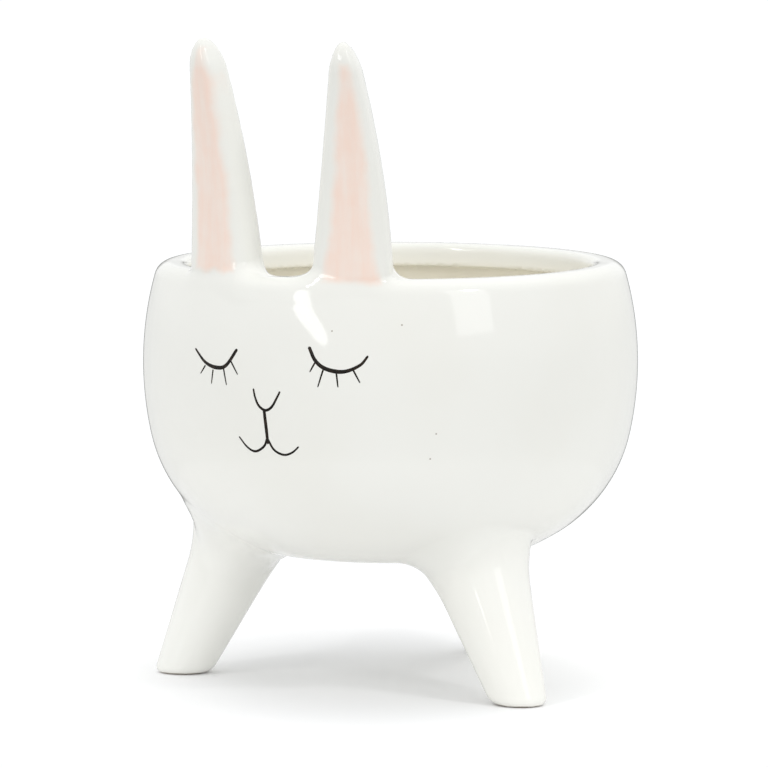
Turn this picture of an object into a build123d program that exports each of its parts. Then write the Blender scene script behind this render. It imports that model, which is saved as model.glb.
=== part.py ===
"""Three-legged ceramic planter in the shape of a rabbit: bowl, two ears and three legs.

The bowl's axis is +Z, the floor is Z = 0 and the face looks towards -Y.
Left and right are those of someone who looks at the face, so left is -X.
All lengths are in millimetres and all angles in degrees.
"""
import os
from math import asin, cos, degrees, radians, sin

from build123d import *

# Bowl outside, from the rim down: a shoulder, a bulging wall, a tight haunch, a short cone, a belly
bowl_radius = 74.0
ground_clearance = 39.4
wall_arc_radius = 99.0
haunch_arc_radius = 45.3
belly_arc_radius = 30.0
shoulder_radius = 5.0
cone_length = 3.1
wall_top_angle = 15.5
haunch_angle = 12.6
cone_slope = 29.3

# Bowl shell and its thick lip, which overhangs the inside
wall_thickness = 5.2
lip_overhang = 10.0
lip_height = 7.0
lip_edge_radius = 2.2

# Ears, each a tapering finger on the lip with a flared root; the inset is behind the lip's inner edge
ear_length = 69.0
ear_root_width = 23.4
ear_root_thickness = 14.4
ear_spacing = 42.6
ear_inset = 1.8
ear_lean = 9.0
ear_splay = 2.2
ear_turn = 16.6
ear_tip_radius = 0.9
ear_fullness_share = 0.78

# Each row: height over the rim, width, thickness, lean and splay of one ear section
ear_root_shares = [
    (-0.090, 1.10, 0.60, 0.167, 0.00),
    (-0.045, 1.22, 0.78, 0.10, 0.00),
    (0.000, 1.17, 0.93, 0.03, 0.00),
    (0.045, 1.04, 0.99, 0.01, 0.02),
    (0.090, 0.97, 0.98, 0.015, 0.06),
]
ear_blade_shares = [
    (0.09, 0.97, 0.98, 0.015, 0.06),
    (0.25, 0.88, 0.92, 0.08, 0.23),
    (0.41, 0.78, 0.86, 0.20, 0.40),
    (0.57, 0.66, 0.80, 0.36, 0.57),
    (0.73, 0.53, 0.75, 0.57, 0.73),
    (0.88, 0.39, 0.69, 0.815, 0.89),
]
ear_tip_shares = [
    (0.88, 0.39, 0.69, 0.815, 0.89),
    (0.93, 0.305, 0.605, 0.905, 0.94),
    (0.965, 0.21, 0.46, 0.97, 0.98),
    (1.000, 0.11, 0.26, 1.02, 1.00),
]

# Legs, each a leaning cone that flares where it meets the bowl
foot_inset = 9.5
foot_radius = 7.9
foot_edge_radius = 2.6
leg_taper_share = 0.12
leg_flare_drop = 10.5
leg_flare_radius = 44.0
leg_flare_angle = 28.0

# Each leg: its place round the bowl from the face, and how far it leans inwards
leg_angles = {
    "front_left_leg": (-71.0, 24.0),
    "front_right_leg": (66.2, 27.8),
    "back_leg": (180.0, 26.0),
}

# How far a leg is drawn past the floor and into the bowl before it is cut there
cut_overrun = 9.0


def polar(centre, radius, angle):
    """The point at this radius and angle from a centre in the half section."""
    return centre + Vector(radius * cos(radians(angle)), radius * sin(radians(angle)))


# Centres of the bowl's arcs in its half section, where X is the radius and Y the height
cone_angle = cone_slope - 90
wall_to_haunch = polar(Vector(0, 0), wall_arc_radius - haunch_arc_radius, -haunch_angle)
haunch_to_cone_top = polar(Vector(0, 0), haunch_arc_radius - belly_arc_radius, cone_angle)
cone_top_to_belly = polar(Vector(0, 0), cone_length, cone_slope - 180)
wall_to_belly = wall_to_haunch + haunch_to_cone_top + cone_top_to_belly
widest_height = ground_clearance + belly_arc_radius - wall_to_belly.Y

wall_centre = Vector(bowl_radius - wall_arc_radius, widest_height)
shoulder_centre = polar(wall_centre, wall_arc_radius - shoulder_radius, wall_top_angle)
haunch_centre = wall_centre + wall_to_haunch
belly_centre = wall_centre + wall_to_belly

rim_height = shoulder_centre.Y + shoulder_radius
lip_underside = rim_height - lip_height
lip_inner_radius = polar(wall_centre, wall_arc_radius, wall_top_angle).X - lip_overhang


def bowl_side(inset, top_angle):
    """Floor, belly, cone, haunch and wall of the bowl, moved inwards by an inset."""
    floor_height = ground_clearance + inset
    Line((0, floor_height), (belly_centre.X, floor_height))
    CenterArc(belly_centre, belly_arc_radius - inset, -90, cone_slope)
    Line(
        polar(belly_centre, belly_arc_radius - inset, cone_angle),
        polar(haunch_centre, haunch_arc_radius - inset, cone_angle),
    )
    CenterArc(haunch_centre, haunch_arc_radius - inset, cone_angle, -haunch_angle - cone_angle)
    CenterArc(wall_centre, wall_arc_radius - inset, -haunch_angle, haunch_angle + top_angle)


# The bowl's outside as one solid block, used only to cut the tops of the legs
with BuildPart() as bowl_block:
    with BuildSketch(Plane.XZ):
        with BuildLine():
            bowl_side(0, wall_top_angle)
            CenterArc(shoulder_centre, shoulder_radius, wall_top_angle, 90 - wall_top_angle)
            Line((shoulder_centre.X, rim_height), (0, rim_height))
            Line((0, rim_height), (0, ground_clearance))
        make_face()
    revolve(axis=Axis.Z)

# The bowl itself, a shell with an even wall up to the underside of its thick lip
inner_wall_radius = wall_arc_radius - wall_thickness
inner_top_angle = degrees(asin((lip_underside - widest_height) / inner_wall_radius))
inner_top = polar(wall_centre, inner_wall_radius, inner_top_angle)

with BuildPart() as pot_body:
    with BuildSketch(Plane.XZ):
        with BuildLine():
            bowl_side(0, wall_top_angle)
            CenterArc(shoulder_centre, shoulder_radius, wall_top_angle, 90 - wall_top_angle)
            FilletPolyline(
                (shoulder_centre.X, rim_height),
                (lip_inner_radius, rim_height),
                (lip_inner_radius, lip_underside),
                radius=lip_edge_radius,
            )
            Line((lip_inner_radius, lip_underside), (inner_top.X, lip_underside))
            bowl_side(wall_thickness, inner_top_angle)
            Line((0, ground_clearance + wall_thickness), (0, ground_clearance))
        make_face()
    revolve(axis=Axis.Z)


def ear_section_plane(side, height_share, lean_share, splay_share):
    """The level plane of one ear section, turned outwards; side is -1 on the left and 1 on the right."""
    sideways = ear_spacing / 2 + ear_splay * splay_share
    forwards = lip_inner_radius - ear_inset + ear_lean * lean_share
    return Plane(
        origin=(side * sideways, -forwards, rim_height + ear_length * height_share),
        x_dir=(cos(radians(ear_turn)), side * sin(radians(ear_turn)), 0),
        z_dir=(0, 0, 1),
    )


def ear_outline(across, through):
    """Four curves round an ear section, fuller than an ellipse of these half sizes."""
    full_across, full_through = across * ear_fullness_share, through * ear_fullness_share
    Bezier((across, 0), (across, full_through), (full_across, through), (0, through))
    Bezier((0, through), (-full_across, through), (-across, full_through), (-across, 0))
    Bezier((-across, 0), (-across, -full_through), (-full_across, -through), (0, -through))
    Bezier((0, -through), (full_across, -through), (across, -full_through), (across, 0))


ear_parts = {}
for ear_name, side in (("left_ear", -1), ("right_ear", 1)):
    with BuildPart() as ear:
        for section_shares in (ear_root_shares, ear_blade_shares, ear_tip_shares):
            for height_share, width_share, thickness_share, lean_share, splay_share in section_shares:
                with BuildSketch(ear_section_plane(side, height_share, lean_share, splay_share)):
                    with BuildLine():
                        ear_outline(ear_root_width * width_share / 2, ear_root_thickness * thickness_share / 2)
                    make_face()
            loft()
        fillet(ear.faces().sort_by(Axis.Z)[-1].edges(), ear_tip_radius)
        add(pot_body.part, mode=Mode.SUBTRACT)
    ear_parts[ear_name] = ear


def leg_plane(place, lean):
    """The plane across a leg's axis at its foot: X points outwards and Z up the leg."""
    outwards = Vector(sin(radians(place)), -cos(radians(place)), 0)
    up = Vector(0, 0, 1)
    return Plane(
        origin=outwards * (bowl_radius - foot_inset),
        x_dir=outwards * cos(radians(lean)) + up * sin(radians(lean)),
        z_dir=up * cos(radians(lean)) - outwards * sin(radians(lean)),
    )


leg_parts = {}
for leg_name, (place, lean) in leg_angles.items():
    foot = leg_plane(place, lean)
    leg_side = Plane(origin=foot.origin, x_dir=foot.x_dir, z_dir=foot.x_dir.cross(foot.z_dir))
    with BuildPart() as leg:
        with BuildSketch(leg_side):
            with BuildLine():
                drawn_foot = (foot_radius - leg_taper_share * cut_overrun, -cut_overrun)
                flare_height = ground_clearance / cos(radians(lean)) - leg_flare_drop
                flare_start = (foot_radius + leg_taper_share * flare_height, flare_height)
                Line((0, -cut_overrun), drawn_foot)
                Line(drawn_foot, flare_start)
                flare = JernArc(flare_start, (leg_taper_share, 1), leg_flare_radius, -leg_flare_angle)
                flare_end = flare @ 1
                drawn_top = flare_end.Y + cut_overrun
                Polyline(flare_end, (flare_end.X, drawn_top), (0, drawn_top), (0, -cut_overrun))
            make_face()
        revolve(axis=Axis(foot.origin, foot.z_dir))
        split(bisect_by=Plane.XY, keep=Keep.TOP)
        fillet(leg.faces().sort_by(Axis.Z)[0].edges(), foot_edge_radius)
        add(bowl_block.part, mode=Mode.SUBTRACT)
    leg_parts[leg_name] = leg

os.makedirs("parts", exist_ok=True)

pieces = {"pot_body": pot_body, **ear_parts, **leg_parts}
for name, piece in pieces.items():
    piece.part.label = name
    export_step(piece.part, f"parts/{name}.step")
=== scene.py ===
"""Looks of a three-legged ceramic planter in the shape of a rabbit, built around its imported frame.

The glazed body is one smooth skin, so its shape is a field: a function that says how far points lie
outside the clay, and gives less than zero inside it. The skin is meshed from the field once, and then
cut into the bowl, two ears and three legs. The face is thin strokes of paint that stand on the bowl.
The shape is worked out in millimetres and the scene is in metres. The face looks towards -Y.
"""
from math import atan, cos, pi, radians, sin, sqrt, tan

import bmesh
import bpy
import numpy as np
from mathutils import Euler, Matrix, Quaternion, Vector


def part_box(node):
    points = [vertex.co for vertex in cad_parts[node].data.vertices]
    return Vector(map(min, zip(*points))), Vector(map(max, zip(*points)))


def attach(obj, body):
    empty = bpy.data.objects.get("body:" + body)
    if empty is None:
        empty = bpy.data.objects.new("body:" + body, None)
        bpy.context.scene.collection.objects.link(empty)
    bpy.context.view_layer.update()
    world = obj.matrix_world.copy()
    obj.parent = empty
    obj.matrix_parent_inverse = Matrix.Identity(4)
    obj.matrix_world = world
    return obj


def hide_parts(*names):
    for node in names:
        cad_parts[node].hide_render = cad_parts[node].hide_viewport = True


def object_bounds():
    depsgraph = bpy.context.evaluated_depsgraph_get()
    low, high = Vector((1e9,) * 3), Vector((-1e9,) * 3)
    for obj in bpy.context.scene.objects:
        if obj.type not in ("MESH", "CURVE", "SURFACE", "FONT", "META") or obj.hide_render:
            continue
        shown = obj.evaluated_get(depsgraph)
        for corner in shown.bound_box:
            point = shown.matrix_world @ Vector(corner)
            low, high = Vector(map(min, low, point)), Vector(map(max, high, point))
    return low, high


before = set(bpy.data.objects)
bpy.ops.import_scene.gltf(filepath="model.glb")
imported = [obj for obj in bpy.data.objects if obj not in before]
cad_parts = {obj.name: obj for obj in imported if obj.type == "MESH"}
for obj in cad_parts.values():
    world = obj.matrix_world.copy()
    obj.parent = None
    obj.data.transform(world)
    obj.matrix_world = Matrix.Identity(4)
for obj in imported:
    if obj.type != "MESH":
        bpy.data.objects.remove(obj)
cad_low, cad_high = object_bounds()

metre = 1000.0
pot_low, pot_high = (np.array(corner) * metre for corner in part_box("pot_body"))

# Bowl outside, from the rim down: a shoulder, a bulging wall, a tight haunch, a short cone, a belly
bowl_radius = pot_high[0]
ground_clearance = pot_low[2]
wall_arc_radius = 99.0
haunch_arc_radius = 45.3
belly_arc_radius = 30.0
shoulder_radius = 5.0
cone_length = 3.1
wall_top_angle = 15.5
haunch_angle = 12.6
cone_slope = 29.3

# Bowl shell and its thick lip, which overhangs the inside
wall_thickness = 5.2
lip_overhang = 10.0
lip_height = 7.0
lip_edge_radius = 2.4
lip_underside_radius = 0.8
mouth_overrun = 4.0

# Ears: half sizes and places of their level sections, as factors of curves over the height above the base
ear_base_height = 128.0
ear_curve_height = 66.0
ear_curve_limits = (-0.2, 1.02)
ear_half_width = (11.68, -5.03, -3.32)
ear_half_thickness = (7.2, -2.47)
ear_forwards = (58.62, 1.43, 7.63)
ear_sideways = (21.28, 2.15)
ear_turn = 16.6
ear_fullness = 3.0
ear_least_half_size = 0.05

# Ears: the domed tip, the root that narrows below the base, and the fillet on the lip
ear_top_height = 195.13
ear_tip_height = 8.85
ear_tip_limit = 0.9999
ear_bottom_height = 119.6
ear_bottom_radius = 1.5
ear_root_height = 8.0
ear_root_power = 1.5
ear_root_thinning = 3.2
ear_root_step = 2.2
ear_fillet = 4.2
ear_fillet_less = 2.4
ear_fillet_more = 3.0

# A low swelling of clay between the ears' roots: its place on the wall, its height and its reach
swelling_place = (6.0, 118.0)
swelling_height = 0.7
swelling_reach = 9.5

# Legs, each a leaning cone that flares where it meets the bowl
foot_inset = 9.5
foot_radius = 7.9
foot_edge_radius = 2.4
leg_flare_drop = 10.5
leg_flare_reach = 18.0
leg_bend_radius = 100.0
leg_length = 62.0
leg_fillet = 1.0

# Each leg: its angle from the face, its lean, its taper, its flare's radius, and more fillet on some sides
legs = {
    "front_left_leg": (-71.0, 24.0, 0.12, 60.0, {30.0: 15.0}),
    "front_right_leg": (66.2, 27.8, 0.148, 44.0, {-15.0: 5.0}),
    "back_leg": (180.0, 26.0, 0.12, 44.0, {95.0: 8.0, -95.0: 8.0}),
}

# Mesh of the skin: its grid, the steps that it reaches past the solids, and the rounds that refine it
mesh_step = 1.2
steps_below = 2
steps_above = 3
first_rounds = 3
even_rounds = 3
last_rounds = 2

# Finding the skin: the step over which a slope is measured, and small values that keep the sums sound
slope_step = 0.02
least_steepness = 0.05
least_distance = 1e-6
least_reach = 1e-12

# Where the skin is cut into pieces: level through the ears, and across each leg at this length
ear_cut_height = 129.5
ear_cut_reach = 2 * mesh_step
leg_cut_length = 44.0
leg_cut_reach = 36.0
leg_inner_radius = 28.0
cut_snap = 0.25


def offset(length, angle):
    """A step of this length and direction in the bowl's half section."""
    return length * np.array([cos(radians(angle)), sin(radians(angle))])


# Centres of the bowl's arcs in its half section, where the first number is the radius
cone_angle = cone_slope - 90
wall_to_haunch = offset(wall_arc_radius - haunch_arc_radius, -haunch_angle)
haunch_to_cone = offset(haunch_arc_radius - belly_arc_radius, cone_angle)
wall_to_belly = wall_to_haunch + haunch_to_cone + offset(cone_length, cone_slope - 180)
wall_centre = np.array([
    bowl_radius - wall_arc_radius,
    ground_clearance + belly_arc_radius - wall_to_belly[1],
])
shoulder_centre = wall_centre + offset(wall_arc_radius - shoulder_radius, wall_top_angle)
haunch_centre = wall_centre + wall_to_haunch
belly_centre = wall_centre + wall_to_belly
rim_height = shoulder_centre[1] + shoulder_radius
lip_underside = rim_height - lip_height
lip_inner_radius = (wall_centre + offset(wall_arc_radius, wall_top_angle))[0] - lip_overhang


def curve(factors, share):
    """A polynomial with these factors, lowest power first."""
    return sum(factor * share**power for power, factor in enumerate(factors))


def round_cut(a, b, radius):
    """What lies in both fields, with a rounded edge where they meet."""
    edge = np.hypot(np.maximum(radius + a, 0), np.maximum(radius + b, 0))
    return np.minimum(-radius, np.maximum(a, b)) + edge


def round_join(a, b, radius):
    """What lies in either field, with a fillet where they meet."""
    fillet = np.hypot(np.maximum(radius - a, 0), np.maximum(radius - b, 0))
    return np.maximum(radius, np.minimum(a, b)) - fillet


def half_section(points):
    """Radius and height of each point."""
    return np.stack([np.hypot(points[:, 0], points[:, 1]), points[:, 2]], 1)


def arc_side(section, centre, radius, start, end):
    """How far each point lies outside a convex side whose normals turn from one angle to another."""
    from_centre = section - centre
    angle = np.degrees(np.arctan2(from_centre[:, 1], from_centre[:, 0]))
    distance = np.hypot(from_centre[:, 0], from_centre[:, 1])
    past_ends = np.maximum(from_centre @ offset(1, start), from_centre @ offset(1, end))
    return np.where((angle > start) & (angle < end), distance, past_ends) - radius


def bowl_sides(section, inset=0.0):
    """Belly, haunch and wall of the bowl, moved inwards by an inset."""
    return np.maximum.reduce([
        arc_side(section, belly_centre, belly_arc_radius - inset, -90, cone_angle),
        arc_side(section, haunch_centre, haunch_arc_radius - inset, cone_angle, -haunch_angle),
        arc_side(section, wall_centre, wall_arc_radius - inset, -haunch_angle, wall_top_angle),
    ])


def on_wall(place):
    """The point of the bowl's wall at this angle from the front and this height."""
    angle, height = place
    radius = wall_centre[0] + sqrt(wall_arc_radius**2 - (height - wall_centre[1]) ** 2)
    return np.array([radius * sin(radians(angle)), -radius * cos(radians(angle)), height])


def bowl_block(points):
    """The bowl as a solid block with a rounded shoulder."""
    section = half_section(points)
    shoulder = arc_side(section, shoulder_centre, shoulder_radius, wall_top_angle, 90)
    return np.maximum(bowl_sides(section), shoulder)


def bowl_clay(points):
    """The clay round the hollow: more than zero in the planting cavity and in the mouth above it."""
    section = half_section(points)
    cavity = np.maximum(bowl_sides(section, wall_thickness), section[:, 1] - lip_underside)
    mouth = np.maximum(section[:, 0] - lip_inner_radius, lip_underside - mouth_overrun - section[:, 1])
    return round_cut(-cavity, -mouth, lip_underside_radius)


def ear_place(points, side):
    """Each point's place in an ear's level section, outwards along its width and back through it.

    It comes with the share of the ear's height that the point is at, and how far it is down the root.
    """
    share = np.clip((points[:, 2] - ear_base_height) / ear_curve_height, *ear_curve_limits)
    root = np.clip((ear_base_height - points[:, 2]) / ear_root_height, 0, 1) ** ear_root_power
    sideways = points[:, 0] * side - curve(ear_sideways, share)
    backwards = points[:, 1] + curve(ear_forwards, share) + ear_root_step * root
    turn_cos, turn_sin = cos(radians(ear_turn)), sin(radians(ear_turn))
    across = sideways * turn_cos + backwards * turn_sin
    through = backwards * turn_cos - sideways * turn_sin
    return across, through, share, root


def ear(points, side):
    """One ear, a finger with a domed tip, and its fillet, which is wide behind and tight at the outer front.

    The side is -1 for the left ear and 1 for the right one.
    """
    across, through, share, root = ear_place(points, side)
    up_dome = np.clip((points[:, 2] - ear_top_height) / ear_tip_height + 1, 0, ear_tip_limit)
    dome = np.sqrt(1 - up_dome**2)
    half_width = np.maximum(curve(ear_half_width, share) * dome, ear_least_half_size)
    half_thickness = curve(ear_half_thickness, share) * dome - ear_root_thinning * root
    half_thickness = np.maximum(half_thickness, ear_least_half_size)
    reach_across = np.abs(across) / half_width
    reach_through = np.abs(through) / half_thickness
    reach = reach_across**ear_fullness + reach_through**ear_fullness
    sides = ((reach + least_reach) ** (1 / ear_fullness) - 1) * half_thickness
    body = np.maximum(sides, points[:, 2] - ear_top_height)
    back = np.clip(through / ear_half_thickness[0], 0, 1)
    outer_front = np.clip(across / ear_half_width[0] - through / ear_half_thickness[0], 0, 1)
    fillet = ear_fillet + ear_fillet_more * back - ear_fillet_less * outer_front
    return round_cut(body, ear_bottom_height - points[:, 2], ear_bottom_radius), fillet


def level_way(azimuth):
    """The level direction at this angle round the bowl from the face."""
    return np.array([sin(radians(azimuth)), -cos(radians(azimuth)), 0.0])


def leg_frame(place, lean):
    """A leg's foot, its axis and the way outwards from the bowl's axis."""
    outwards = level_way(place)
    axis = np.array([0.0, 0.0, cos(radians(lean))]) - outwards * sin(radians(lean))
    return outwards * (bowl_radius - foot_inset), axis, outwards


def leg(points, place, lean, taper, flare_radius, smooth_sides):
    """One leg, and its fillet, which is wide only on the leg's smooth sides."""
    foot, axis, outwards = leg_frame(place, lean)
    from_foot = points - foot
    along = from_foot @ axis
    to_bowl = ground_clearance / cos(radians(lean))
    past_flare = np.clip(along - to_bowl + leg_flare_drop, 0, leg_flare_reach)
    bend = past_flare**2 / (2 * leg_bend_radius)
    bend_way = np.cross(np.cross(axis, outwards), axis)
    from_axis = from_foot - along[:, None] * axis - bend[:, None] * bend_way
    distance = np.linalg.norm(from_axis, axis=1)
    radius = foot_radius + taper * along + past_flare**2 / (2 * flare_radius)
    sides = (distance - radius) * cos(atan(taper))
    body = np.maximum(sides, along - leg_length)
    distance = np.maximum(distance, least_distance)
    fillet = leg_fillet + np.maximum.reduce([
        np.clip(from_axis @ level_way(way) / distance, 0, 1) * more
        for way, more in smooth_sides.items()
    ])
    return round_cut(body, -points[:, 2], foot_edge_radius), fillet


def pot(points):
    """The whole planter: the bowl with its legs, hollowed out, and then the ears on its lip."""
    from_swelling = np.linalg.norm(points - on_wall(swelling_place), axis=1) / swelling_reach
    block = bowl_block(points) - swelling_height * np.exp(-from_swelling**2)
    for shape in legs.values():
        block = round_join(block, *leg(points, *shape))
    shell = round_cut(block, bowl_clay(points), lip_edge_radius)
    for side in (-1, 1):
        shell = round_join(shell, *ear(points, side))
    return shell


def gradient(field, points):
    """How the field grows at each point along X, Y and Z."""
    slopes = []
    for move in np.eye(3) * slope_step:
        slopes.append((field(points + move) - field(points - move)) / (2 * slope_step))
    return np.stack(slopes, 1)


def settle(field, points, rounds):
    """The points moved onto the skin, where the field is zero."""
    for _ in range(rounds):
        slope = gradient(field, points)
        steepness = np.maximum((slope**2).sum(1), least_steepness)
        points = points - (field(points) / steepness)[:, None] * slope
    return points


def surface_net(field, low, high, step):
    """Quads round the skin: one point in each grid cell that it passes through."""
    axes = [np.arange(start, end + step, step) for start, end in zip(low, high)]
    across, up = np.meshgrid(axes[1], axes[2], indexing="ij")
    inside = np.empty([len(axis) for axis in axes], bool)
    for index, x in enumerate(axes[0]):
        layer = np.stack([np.full(across.size, x), across.ravel(), up.ravel()], 1)
        inside[index] = (field(layer) < 0).reshape(across.shape)
    corners = sum(
        inside[x:x - 1 or None, y:y - 1 or None, z:z - 1 or None].astype(int)
        for x in (0, 1) for y in (0, 1) for z in (0, 1)
    )
    crossed = (corners > 0) & (corners < 8)
    point_index = np.full(crossed.shape, -1)
    point_index[crossed] = np.arange(crossed.sum())
    cells = np.argwhere(crossed)
    points = np.stack([axes[k][cells[:, k]] + step / 2 for k in range(3)], 1)
    quads = []
    for k in range(3):
        before = inside[tuple(slice(None, -1) if j == k else slice(1, -1) for j in range(3))]
        after = inside[tuple(slice(1, None) if j == k else slice(1, -1) for j in range(3))]
        edges = np.argwhere(before != after)
        ring = []
        for first, second in ((0, 0), (1, 0), (1, 1), (0, 1)):
            cell = edges.copy()
            cell[:, (k + 1) % 3] += first
            cell[:, (k + 2) % 3] += second
            ring.append(point_index[tuple(cell.T)])
        quad = np.stack(ring, 1)
        leaving = before[before != after]
        quad[~leaving] = quad[~leaving][:, ::-1]
        quads.append(quad)
    return points, np.concatenate(quads)


def even_out(field, points, quads, rounds):
    """Quads of even size: each point goes to the middle of its neighbours and back onto the skin."""
    edges = np.concatenate([quads[:, [k, (k + 1) % 4]] for k in range(4)])
    starts, ends = edges[:, 0], edges[:, 1]
    count = np.bincount(starts, minlength=len(points)) + np.bincount(ends, minlength=len(points))
    for _ in range(rounds):
        sums = []
        for k in range(3):
            ahead = np.bincount(starts, points[ends, k], len(points))
            behind = np.bincount(ends, points[starts, k], len(points))
            sums.append(ahead + behind)
        points = settle(field, np.stack(sums, 1) / count[:, None], 1)
    return points


def smooth_skin():
    """The planter's whole skin, not yet cut along the joints between its pieces."""
    low = np.array(cad_low) * metre - steps_below * mesh_step
    high = np.array(cad_high) * metre + steps_above * mesh_step
    points, quads = surface_net(pot, low, high, mesh_step)
    points = even_out(pot, settle(pot, points, first_rounds), quads, even_rounds)
    points = settle(pot, points, last_rounds)
    mesh = bpy.data.meshes.new("skin")
    mesh.from_pydata(points.tolist(), [], quads.tolist())
    skin = bmesh.new()
    skin.from_mesh(mesh)
    bpy.data.meshes.remove(mesh)
    return skin


def cut_skin(skin, near, origin, normal):
    """Cuts the faces that are near a joint along its plane."""
    faces = [face for face in skin.faces if near(face.calc_center_median())]
    edges = {edge for face in faces for edge in face.edges}
    verts = {vert for face in faces for vert in face.verts}
    bmesh.ops.bisect_plane(
        skin, geom=[*verts, *edges, *faces], dist=cut_snap, use_snap_center=True,
        plane_co=origin, plane_no=normal,
    )


def near_leg(name):
    """Tests of whether a point is near a leg's joint and on the leg below it, and the joint's plane."""
    place, lean = legs[name][:2]
    foot, axis, outwards = leg_frame(place, lean)
    joint = Vector(foot + axis * leg_cut_length)
    axis, outwards = Vector(axis), Vector(outwards)

    def near(point):
        return (point - joint).length < leg_cut_reach

    def beyond(point):
        return (point - joint).dot(axis) < 0 and point.dot(outwards) > leg_inner_radius

    return near, beyond, joint, axis


def cut_into_pieces(skin):
    """Cuts the skin at its joints and sorts its faces into pieces, by the names of their nodes."""
    ear_plane = Vector((0, 0, ear_cut_height)), Vector((0, 0, 1))
    cut_skin(skin, lambda point: abs(point.z - ear_cut_height) < ear_cut_reach, *ear_plane)
    belongs = {
        "left_ear": lambda point: point.z > ear_cut_height and point.x < 0,
        "right_ear": lambda point: point.z > ear_cut_height and point.x > 0,
    }
    for name in legs:
        near, beyond, joint, axis = near_leg(name)
        cut_skin(skin, near, joint, axis)
        belongs[name] = beyond
    pieces = {name: [] for name in ["pot_body", *belongs]}
    for face in skin.faces:
        middle = face.calc_center_median()
        owner = next((name for name, own in belongs.items() if own(middle)), "pot_body")
        pieces[owner].append(face)
    return pieces


def open_loops(faces):
    """The rings of points round the open edges of these faces, in an order that closes them."""
    sides = dict.fromkeys(
        (start, end) for ring in faces for start, end in zip(ring, [*ring[1:], ring[0]])
    )
    following = {end: start for start, end in sides if (end, start) not in sides}
    loops = []
    while following:
        start, point = following.popitem()
        loop = [start]
        while point != start:
            loop.append(point)
            point = following.pop(point)
        loops.append(loop)
    return loops


def new_object(name, points, faces, material):
    """A closed mesh object from points in millimetres, riding on the body."""
    mesh = bpy.data.meshes.new(name)
    mesh.from_pydata((points / metre).tolist(), [], faces)
    mesh.materials.append(material)
    mesh.shade_smooth()
    piece = bpy.data.objects.new(name, mesh)
    bpy.context.scene.collection.objects.link(piece)
    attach(piece, "root")
    return piece


def add_values(mesh, name, values):
    """One number for each point, for the material to read."""
    mesh.attributes.new(name, "FLOAT", "POINT").data.foreach_set("value", values.astype(np.float32))


def glazed_piece(name, faces, material):
    """One piece of the planter, closed by flat faces at its joints, with the skin's own shading."""
    index = {}
    rings = [[index.setdefault(vert, len(index)) for vert in face.verts] for face in faces]
    points = np.array([vert.co for vert in index])
    caps = open_loops(rings)
    piece = new_object("glazed_" + name, points, rings + caps, material)
    normals = gradient(pot, points)
    normals /= np.linalg.norm(normals, axis=1)[:, None]
    corner_normals = []
    for polygon in piece.data.polygons:
        on_cap = polygon.index >= len(rings)
        corner_normals += [polygon.normal if on_cap else normals[k] for k in polygon.vertices]
    piece.data.normals_split_custom_set(corner_normals)
    for mask, values in painted_areas(points).items():
        add_values(piece.data, mask, values)
    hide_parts(name)
    return piece


# Pink panel on each ear's front: rows of its height, and of its inner and outer edge along the ear's width
ear_panels = {
    -1: [
        (126.8, -9.8, 6.2), (150.0, -7.9, 4.8), (172.0, -5.8, 4.3), (184.0, -4.5, 2.2), (192.2, -2.2, -1.0),
    ],
    1: [
        (125.4, -7.6, 9.8), (137.0, -6.2, 7.5), (155.0, -4.3, 6.2), (172.0, -3.3, 4.9), (189.0, -0.6, 2.0),
    ],
}
panel_reach_back = 1.0
panel_wave = 0.5
panel_wave_length = 4.0

# What points away from every panel get, and how near to the hollow a point counts as inside the bowl
far_away = 10.0
hollow_reach = 1.0


def painted_areas(points):
    """How far each point lies within the pink panels, over their lower edge, and down inside the bowl."""
    inside = np.full(len(points), -far_away)
    over_edge = np.full(len(points), far_away)
    for side, rows in ear_panels.items():
        across, through, _, _ = ear_place(points, side)
        heights, inner, outer = np.array(rows).T
        low = np.interp(points[:, 2], heights, inner)
        high = np.interp(points[:, 2], heights, outer)
        wave = panel_wave * np.sin(across / panel_wave_length * pi) * (side < 0)
        above = points[:, 2] - heights[0] + wave
        below = heights[-1] - points[:, 2]
        panel = np.minimum.reduce([across - low, high - across, above, below, panel_reach_back - through])
        over_edge = np.where(panel > inside, above, over_edge)
        inside = np.maximum(inside, panel)
    depth = np.where(bowl_clay(points) > -hollow_reach, rim_height - points[:, 2], 0)
    return {"panel": inside, "over_edge": over_edge, "depth": depth}


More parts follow.
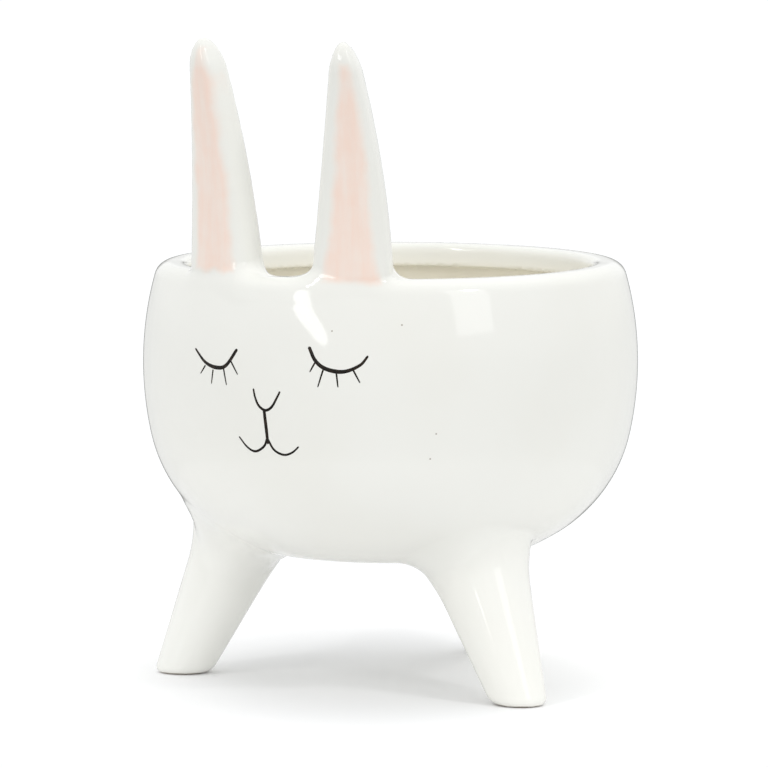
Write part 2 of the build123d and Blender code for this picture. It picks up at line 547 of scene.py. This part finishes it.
# Face: strokes as degrees round the bowl from the front and heights, and their widths at start, middle, end
lash_widths = (0.55, 0.5, 0.36)
face_strokes = {
    "left_eye_paint": [
        ([(-20.7, 104.4), (-16.9, 100.7), (-13.1, 99.5), (-10.2, 100.5), (-7.2, 105.4)], (0.65, 1.2, 1.0)),
        ([(-16.8, 99.9), (-18.5, 97.2)], lash_widths),
        ([(-14.3, 98.9), (-14.8, 94.6)], lash_widths),
        ([(-11.1, 99.8), (-10.1, 94.6)], lash_widths),
        ([(-9.0, 101.9), (-6.8, 97.9)], lash_widths),
    ],
    "right_eye_paint": [
        (
            [(11.3, 107.2), (12.9, 103.2), (15.4, 100.9), (19.4, 100.2), (23.1, 102.1), (25.0, 104.9)],
            (1.0, 1.25, 0.7),
        ),
        ([(12.9, 102.8), (11.6, 99.8)], lash_widths),
        ([(14.8, 100.8), (13.5, 95.5)], lash_widths),
        ([(17.8, 99.9), (18.2, 95.6)], lash_widths),
        ([(21.6, 100.8), (23.2, 97.0)], lash_widths),
    ],
    "nose_paint": [
        (
            [(-2.5, 94.3), (-2.1, 91.9), (-1.2, 89.4), (0.5, 88.1), (2.2, 89.2), (3.7, 92.2), (4.4, 93.9)],
            (0.6, 0.85, 0.6),
        ),
        ([(0.2, 88.2), (0.5, 82.5), (0.6, 78.1)], (1.0, 1.1, 0.95)),
    ],
    "mouth_paint": [
        ([(-7.3, 79.8), (-5.2, 76.8), (-3.0, 75.7), (-0.5, 77.4), (0.5, 79.8)], (0.5, 0.75, 0.7)),
        ([(0.6, 79.8), (2.1, 76.5), (4.5, 75.2), (6.7, 76.0), (8.5, 77.9)], (0.7, 0.75, 0.5)),
    ],
}

# Strokes as beads: the rings along them, how far they stand out and go in, their sides and rounded ends
stroke_step = 0.25
stroke_least_rings = 6
stroke_height = 0.08
stroke_depth = 0.3
stroke_sides = 12
stroke_end_square = 0.02

# Points of the curve from one given place of a stroke to the next
curve_steps = 12


def smooth_path(points):
    """Even points along a smooth cubic curve through the given ones."""
    ends = np.array([2 * points[0] - points[1], *points, 2 * points[-1] - points[-2]])
    fine = []
    for first, second, third, fourth in zip(ends, ends[1:], ends[2:], ends[3:]):
        for t in np.linspace(0, 1, curve_steps, endpoint=False):
            fine.append(0.5 * (
                2 * second + (third - first) * t
                + (2 * first - 5 * second + 4 * third - fourth) * t**2
                + (3 * second - first - 3 * third + fourth) * t**3
            ))
    fine = np.array([*fine, points[-1]])
    run = np.concatenate([[0], np.cumsum(np.linalg.norm(np.diff(fine, axis=0), axis=1))])
    stations = np.linspace(0, run[-1], max(int(run[-1] / stroke_step), stroke_least_rings))
    return np.stack([np.interp(stations, run, fine[:, k]) for k in range(3)], 1)


def stroke(places, widths):
    """One brush stroke, a low closed bead that tapers and is rounded at both ends."""
    path = settle(pot, smooth_path(np.array([on_wall(place) for place in places])), last_rounds)
    ahead = np.gradient(path, axis=0)
    ahead /= np.linalg.norm(ahead, axis=1)[:, None]
    outwards = gradient(pot, path)
    outwards /= np.linalg.norm(outwards, axis=1)[:, None]
    sideways = np.cross(ahead, outwards)
    share = np.linspace(0, 1, len(path))
    half_width = np.interp(share, (0, 0.5, 1), widths) / 2
    run = share * np.linalg.norm(np.diff(path, axis=0), axis=1).sum()
    to_end = np.minimum(np.minimum(run, run[-1] - run) / half_width, 1)
    half_width = half_width * np.sqrt(np.maximum(1 - (1 - to_end) ** 2, stroke_end_square))
    points, faces = [], []
    for turn in np.arange(stroke_sides) * 2 * pi / stroke_sides:
        rise = stroke_height * sin(turn) if sin(turn) > 0 else stroke_depth * sin(turn)
        points.append(path + sideways * (half_width * cos(turn))[:, None] + outwards * rise)
    points = np.stack(points, 1).reshape(-1, 3)
    for ring in range(len(path) - 1):
        for k in range(stroke_sides):
            first, second = ring * stroke_sides + k, ring * stroke_sides + (k + 1) % stroke_sides
            faces.append([first, first + stroke_sides, second + stroke_sides, second])
    faces.append(list(range(stroke_sides)))
    faces.append([len(points) - 1 - k for k in range(stroke_sides)])
    return points, faces


def painted_piece(name, strokes, material):
    """Several strokes as one piece."""
    points, faces = [], []
    for places, widths in strokes:
        stroke_points, stroke_faces = stroke(places, widths)
        start = sum(len(group) for group in points)
        faces += [[start + k for k in face] for face in stroke_faces]
        points.append(stroke_points)
    piece = new_object(name, np.concatenate(points), faces, material)
    return piece


class Nodes:
    """The nodes of one material or world, with short calls to add and link them.

    A mix node has its share at input 0, two numbers at 2 and 3, and two colours at 6 and 7.
    """

    def __init__(self, owner):
        self.owner = owner
        self.owner.use_nodes = True
        self.tree = self.owner.node_tree

    def set(self, socket, value):
        """Links an input to another node's output, or gives it a fixed value."""
        if isinstance(value, bpy.types.NodeSocket):
            self.tree.links.new(value, socket)
        else:
            socket.default_value = value

    def add(self, kind, inputs=None, **settings):
        """A new node with these settings, and these inputs by name or number."""
        node = self.tree.nodes.new(kind)
        for key, value in settings.items():
            setattr(node, key, value)
        for key, value in (inputs or {}).items():
            self.set(node.inputs[key], value)
        return node

    def math(self, operation, *values):
        """A sum on numbers."""
        return self.add("ShaderNodeMath", dict(enumerate(values)), operation=operation).outputs[0]

    def vector_math(self, operation, *values):
        """A sum on vectors, as its two outputs, a vector and a number."""
        return self.add("ShaderNodeVectorMath", dict(enumerate(values)), operation=operation).outputs

    def ramp(self, value, start, end, low=0.0, high=1.0):
        """A smooth rise from low to high as the value goes from start to end."""
        inputs = {"Value": value, "From Min": start, "From Max": end, "To Min": low, "To Max": high}
        return self.add("ShaderNodeMapRange", inputs, interpolation_type="SMOOTHSTEP").outputs["Result"]

    def noise(self, vector, scale, detail=3.0):
        """Cloudy noise from 0 to 1, with about this many waves to the metre."""
        inputs = {"Vector": vector, "Scale": scale, "Detail": detail}
        return self.add("ShaderNodeTexNoise", inputs).outputs["Fac"]

    def mix(self, share, first, second):
        """A colour between two others, each another node's output or fixed."""
        node = self.add("ShaderNodeMix", {0: share}, data_type="RGBA")
        for socket, colour in ((node.inputs[6], first), (node.inputs[7], second)):
            self.set(socket, (*colour, 1.0) if isinstance(colour, tuple) else colour)
        return node.outputs[2]

    def blend(self, share, first, second):
        """A number between two others."""
        return self.add("ShaderNodeMix", {0: share, 2: first, 3: second}, data_type="FLOAT").outputs[0]

    def value(self, name):
        """What the mesh says at each point under this name."""
        return self.add("ShaderNodeAttribute", attribute_name=name).outputs["Fac"]

    def surface(self, colour, roughness, **others):
        """The material, with its shader's inputs linked, or fixed where they are the same all over."""
        shader = self.tree.nodes["Principled BSDF"]
        self.set(shader.inputs["Base Color"], colour)
        self.set(shader.inputs["Roughness"], roughness)
        for name, value in others.items():
            self.set(shader.inputs[name.replace("_", " ")], value)
        return self.owner


# Below, scales are waves to the metre, and edges are the values between which one thing turns into another

# Colours of the glaze, of the blush and the specks in it, of the bare clay and of the paint, and of painted
# light and shade
glaze_white = (0.878, 0.876, 0.832)
glaze_pooled = (0.866, 0.861, 0.811)
# Painted warm bounce light, which lifts and warms the hollow inside the bowl
painted_bounce_inside = (0.96, 0.93, 0.84)
blush = (0.94, 0.8, 0.715)
blush_deep = (0.955, 0.715, 0.605)
speck_brown = (0.20, 0.14, 0.09)
# Bare clay, darker than the clay's own colour to paint the contact shadow under the feet
bare_clay_and_contact_shade = (0.36, 0.32, 0.27)
paint_black = (0.012, 0.010, 0.008)
paint_brown = (0.045, 0.030, 0.020)

# Glaze: where it pools, how deep inside the bowl its painted warm bounce light comes in, its gloss and its
# ripples
pool_scale = 22.0
pool_edges = (0.35, 0.7)
painted_bounce_edges = (3.0, 10.0)
gloss_scale = 40.0
gloss_edges = (0.3, 0.7)
glaze_roughness = (0.05, 0.08)
glaze_bending = 1.5
ripple_scale = 55.0
ripple_detail = 1.0
ripple_height = 0.00012
ripple_strength = 0.5

# Blush panels: upright streaks and round blotches, a ragged outline, and a deeper band along the foot
streak_scale = 420.0
streak_stretch = (1.0, 1.0, 0.12)
streak_edges = (0.3, 0.7)
streak_strength = 0.5
blotch_scale = 130.0
blotch_edges = (0.3, 0.75)
blotch_strength = 0.45
blotch_middle = 0.5
ragged_reach = 2.4
cover_edges = (-1.1, 2.0)
cover_most = 0.86
band_edges = (2.6, 0.3)
band_strength = 0.5

# Specks: their degrees round the bowl from the front and heights, and the share of each that is darkest
speck_places = [(16.6, 111.8), (32.6, 113.7), (40.4, 82.1), (39.2, 74.7)]
speck_radius = 0.35
speck_core_share = 0.4
speck_strength = 0.7

# Bare soles, darkened as a painted contact shadow: the height, in metres, where the glaze ends, and how far
# its edge wanders
sole_edges = (0.0010, 0.0006)
sole_wander = 0.0006
sole_wander_scale = 300.0
sole_roughness = 0.6

# Paint: where it is thin and brown, and its gloss
thin_scale = 700.0
thin_edges = (0.45, 0.8)
paint_gloss_scale = 300.0
paint_roughness = (0.12, 0.22)
paint_bending = 1.28


def with_blush(nodes, place, colour):
    """The glaze with the pink panels of the ears under it."""
    streaked = nodes.add("ShaderNodeMapping", {"Vector": place, "Scale": streak_stretch}).outputs[0]
    streaks = nodes.ramp(nodes.noise(streaked, streak_scale), *streak_edges, 0.0, streak_strength)
    clouds = nodes.noise(place, blotch_scale)
    blotches = nodes.ramp(clouds, *blotch_edges, 0.0, blotch_strength)
    band = nodes.ramp(nodes.value("over_edge"), *band_edges, 0.0, band_strength)
    strength = nodes.math("ADD", nodes.math("ADD", streaks, blotches), band)
    pink = nodes.mix(nodes.math("MINIMUM", strength, 1.0), blush, blush_deep)
    ragged = nodes.math("MULTIPLY", nodes.math("SUBTRACT", clouds, blotch_middle), ragged_reach)
    cover = nodes.ramp(nodes.math("ADD", nodes.value("panel"), ragged), *cover_edges)
    return nodes.mix(nodes.math("MULTIPLY", cover, cover_most), colour, pink)


def with_specks(nodes, place, colour):
    """The glaze with a few brown specks in it."""
    radius = speck_radius / metre
    for speck_place in speck_places:
        centre = Vector(on_wall(speck_place) / metre)
        away = nodes.vector_math("DISTANCE", place, centre)["Value"]
        speck = nodes.ramp(away, radius, radius * speck_core_share, 0.0, speck_strength)
        colour = nodes.mix(speck, colour, speck_brown)
    return colour


def glaze_material():
    """Glossy white glaze, with blush panels under it on the ears, a few specks, painted warm bounce light
    inside the bowl, and bare clay soles darkened as a painted contact shadow.
    """
    nodes = Nodes(bpy.data.materials.new("white_glaze"))
    place = nodes.add("ShaderNodeTexCoord").outputs["Object"]
    pooled = nodes.ramp(nodes.noise(place, pool_scale), *pool_edges)
    colour = nodes.mix(pooled, glaze_white, glaze_pooled)
    # Painted warm bounce light: deeper inside the bowl the colour turns warmer and lighter.
    colour = nodes.mix(nodes.ramp(nodes.value("depth"), *painted_bounce_edges), colour, painted_bounce_inside)
    colour = with_specks(nodes, place, with_blush(nodes, place, colour))

    height = nodes.add("ShaderNodeSeparateXYZ", {0: place}).outputs["Z"]
    wander = nodes.math("MULTIPLY", nodes.noise(place, sole_wander_scale), sole_wander)
    sole = nodes.ramp(nodes.math("ADD", height, wander), *sole_edges)
    # Painted contact shadow: the bare clay of the soles is darker than the clay itself.
    colour = nodes.mix(sole, colour, bare_clay_and_contact_shade)
    gloss = nodes.ramp(nodes.noise(place, gloss_scale), *gloss_edges, *glaze_roughness)
    roughness = nodes.math("ADD", nodes.math("MULTIPLY", sole, sole_roughness), gloss)

    ripple = nodes.noise(place, ripple_scale, ripple_detail)
    bump_inputs = {"Height": ripple, "Distance": ripple_height, "Strength": ripple_strength}
    bump = nodes.add("ShaderNodeBump", bump_inputs).outputs["Normal"]
    return nodes.surface(colour, roughness, Normal=bump, IOR=glaze_bending)


def paint_material():
    """Black-brown underglaze paint, glossy under the clear glaze and thinner in places."""
    nodes = Nodes(bpy.data.materials.new("black_paint"))
    place = nodes.add("ShaderNodeTexCoord").outputs["Object"]
    thin = nodes.ramp(nodes.noise(place, thin_scale), *thin_edges)
    colour = nodes.mix(thin, paint_black, paint_brown)
    roughness = nodes.ramp(nodes.noise(place, paint_gloss_scale), *gloss_edges, *paint_roughness)
    return nodes.surface(colour, roughness, IOR=paint_bending)


# Camera: its place in metres, its turn from the front of the face, how far it looks down, and its lens
camera_place = (0.9585, -1.6602, 0.2928)
camera_turn = 30.0578
camera_dip = 6.07
camera_lens = 301.83
sensor_width = 36.0


def make_camera():
    """The camera, low and a little to the right of the face."""
    data = bpy.data.cameras.new("camera")
    data.lens = camera_lens
    data.sensor_width = sensor_width
    camera = bpy.data.objects.new("camera", data)
    camera.location = camera_place
    camera.rotation_euler = Euler((radians(90 - camera_dip), 0, radians(camera_turn)))
    bpy.context.scene.collection.objects.link(camera)
    bpy.context.scene.camera = camera


def direction(azimuth, elevation):
    """The way from the planter to something at these angles; azimuth 0 is in front of the face."""
    level = cos(radians(elevation))
    return Vector((sin(radians(azimuth)) * level, -cos(radians(azimuth)) * level, sin(radians(elevation))))


# Floor: its size in metres, its colours and its roughness
floor_radius = 0.19
floor_sides = 96
floor_pale = (0.835, 0.835, 0.84)
floor_paler = (0.845, 0.845, 0.85)
floor_mottle_scale = 3.0
floor_rough_scale = 9.0
floor_roughness = (0.9, 0.95)

# Glow of the floor: its strength, the distances in metres over which it rises, its middle and its squeeze
# The glow is painted light: it hides the shadows on the floor away from the planter and leaves the shadow
# pool under it.
floor_glow = 0.235
glow_edges = (0.024, 0.094)
glow_forwards = 0.002
glow_sideways = -0.007
glow_squeeze = 0.62


def floor_material():
    """A plain pale sweep of paper, with a soft glow of painted light that keeps it white away from the
    planter.

    The patch without glow is longer along the camera's way than across it, because distances along that
    way are squeezed. The glow is left out of reflections in the glaze.
    """
    nodes = Nodes(bpy.data.materials.new("pale_floor"))
    place = nodes.add("ShaderNodeTexCoord").outputs["Object"]
    colour = nodes.mix(nodes.noise(place, floor_mottle_scale), floor_pale, floor_paler)
    roughness = nodes.ramp(nodes.noise(place, floor_rough_scale), 0.0, 1.0, *floor_roughness)
    middle = direction(camera_turn, 0) * glow_forwards + direction(camera_turn + 90, 0) * glow_sideways
    moved = nodes.vector_math("SUBTRACT", place, middle)["Vector"]
    rotation = (0, 0, -radians(camera_turn))
    turned = nodes.add("ShaderNodeMapping", {"Vector": moved, "Rotation": rotation}).outputs[0]
    squeezed = nodes.vector_math("MULTIPLY", turned, (1.0, glow_squeeze, 1.0))["Vector"]
    away = nodes.vector_math("LENGTH", squeezed)["Value"]
    # Painted light: the glow whitens the floor away from the planter, hiding its shadows there.
    glow = nodes.ramp(away, *glow_edges, 0.0, floor_glow)
    mirrored = nodes.add("ShaderNodeLightPath").outputs["Is Glossy Ray"]
    glow = nodes.math("MULTIPLY", glow, nodes.math("SUBTRACT", 1.0, mirrored))
    emission = {"Emission_Color": (1.0, 1.0, 1.0, 1.0), "Emission_Strength": glow}
    return nodes.surface(colour, roughness, Specular_IOR_Level=0.0, **emission)


def make_floor():
    """The floor, a plain pale disc under the feet."""
    turns = np.arange(floor_sides) * 2 * pi / floor_sides
    mesh = bpy.data.meshes.new("floor")
    rim = [(floor_radius * cos(turn), floor_radius * sin(turn), 0.0) for turn in turns]
    mesh.from_pydata(rim, [], [list(range(floor_sides))])
    mesh.materials.append(floor_material())
    floor = bpy.data.objects.new("floor", mesh)
    bpy.context.scene.collection.objects.link(floor)


# Studio lights: angles in degrees, radiance as for a rectangle, and the shares for the clay and the gloss
light_distance = 1.5
aim_height = 0.1
lights = {
    "right_soft_box": {
        "azimuth": 69.5, "elevation": 27.0, "wide": 18.0, "tall": 33.0, "roll": 0.0,
        "shape": "RECTANGLE", "radiance": 1.6, "diffuse": 0.5, "gloss": 1.0,
    },
    "left_soft_box": {
        "azimuth": -8.8, "elevation": 19.7, "wide": 12.0, "tall": 34.0, "roll": 40.0,
        "shape": "ELLIPSE", "radiance": 3.2, "diffuse": 0.4, "gloss": 1.0,
    },
    "right_key": {
        "azimuth": 74.0, "elevation": 40.0, "wide": 6.0, "tall": 6.0, "roll": 0.0,
        "shape": "RECTANGLE", "radiance": 28.0, "diffuse": 1.0, "gloss": 0.0,
    },
    "left_key": {
        "azimuth": -15.0, "elevation": 40.0, "wide": 6.0, "tall": 6.0, "roll": 0.0,
        "shape": "RECTANGLE", "radiance": 23.0, "diffuse": 1.0, "gloss": 0.0,
    },
}


def make_lights():
    """Two soft boxes, which show as bright reflections in the glaze, and a small key light over each."""
    for name, box in lights.items():
        light = bpy.data.lights.new(name, "AREA")
        light.shape = box["shape"]
        light.size = 2 * light_distance * tan(radians(box["wide"] / 2))
        light.size_y = 2 * light_distance * tan(radians(box["tall"] / 2))
        light.energy = box["radiance"] * pi * light.size * light.size_y
        light.diffuse_factor = box["diffuse"]
        light.specular_factor = box["gloss"]
        lamp = bpy.data.objects.new(name, light)
        towards = direction(box["azimuth"], box["elevation"])
        lamp.location = towards * light_distance + Vector((0, 0, aim_height))
        roll = Quaternion((0, 0, 1), radians(box["roll"]))
        lamp.rotation_euler = (towards.to_track_quat("Z", "Y") @ roll).to_euler()
        lamp.visible_camera = False
        bpy.context.scene.collection.objects.link(lamp)


# Surroundings: tint, levels all round, overhead and low, and growth from the camera's side to the far side
sky_tint = (0.985, 0.995, 1.0)
sky_level = 0.712
sky_overhead = 0.84
overhead_azimuth = 95.0
overhead_elevation = 52.0
overhead_edges = (0.1, 1.0)
sky_low = 0.55
low_edges = (0.12, -0.05)
camera_side = 30.0
camera_side_level = 0.98
far_side_level = 1.42
side_edges = (0.95, -0.7)
backdrop_white = 1.05

# Dark flag far behind the planter: where it stands, its edges in degrees from there, its top and its level
flag_azimuth = 210.0
flag_edges = (13.0, 7.0)
flag_top = (0.12, 0.0)
flag_level = 0.15


def make_world():
    """Soft white surroundings, brighter overhead and behind, with a narrow dark flag for the reflections.

    The camera sees plain white. The flag gives the glaze the thin dark line along its outlines. The edges
    of directions are cosines of angles, or heights on a unit ball.
    """
    world = bpy.data.worlds.new("studio")
    nodes = Nodes(world)
    way = nodes.add("ShaderNodeTexCoord").outputs["Generated"]
    upwards = nodes.vector_math("DOT_PRODUCT", way, direction(overhead_azimuth, overhead_elevation))["Value"]
    sky = nodes.ramp(upwards, *overhead_edges, sky_level, sky_overhead)
    height = nodes.add("ShaderNodeSeparateXYZ", {0: way}).outputs["Z"]
    sky = nodes.blend(nodes.ramp(height, *low_edges), sky, sky_low)
    level = nodes.vector_math("MULTIPLY", way, (1, 1, 0))["Vector"]
    level = nodes.vector_math("NORMALIZE", level)["Vector"]
    towards_camera = nodes.vector_math("DOT_PRODUCT", level, direction(camera_side, 0))["Value"]
    side_level = nodes.ramp(towards_camera, *side_edges, camera_side_level, far_side_level)
    sky = nodes.math("MULTIPLY", sky, side_level)
    towards_flag = nodes.vector_math("DOT_PRODUCT", level, direction(flag_azimuth, 0))["Value"]
    flag = nodes.ramp(towards_flag, *(cos(radians(edge)) for edge in flag_edges))
    flag = nodes.math("MULTIPLY", flag, nodes.ramp(height, *flag_top))
    rays = nodes.add("ShaderNodeLightPath").outputs
    flag = nodes.math("MULTIPLY", flag, rays["Is Glossy Ray"])
    sky = nodes.blend(flag, sky, flag_level)
    sky = nodes.blend(rays["Is Camera Ray"], sky, backdrop_white)
    background = nodes.tree.nodes["Background"]
    nodes.set(background.inputs["Color"], (*sky_tint, 1.0))
    nodes.set(background.inputs["Strength"], sky)
    bpy.context.scene.world = world
    bpy.context.scene.view_settings.view_transform = "Standard"


make_camera()
make_world()
make_lights()
make_floor()

glaze = glaze_material()
paint = paint_material()
skin = smooth_skin()
for name, faces in cut_into_pieces(skin).items():
    glazed_piece(name, faces, glaze)
skin.free()
for name, strokes in face_strokes.items():
    painted_piece(name, strokes, paint)
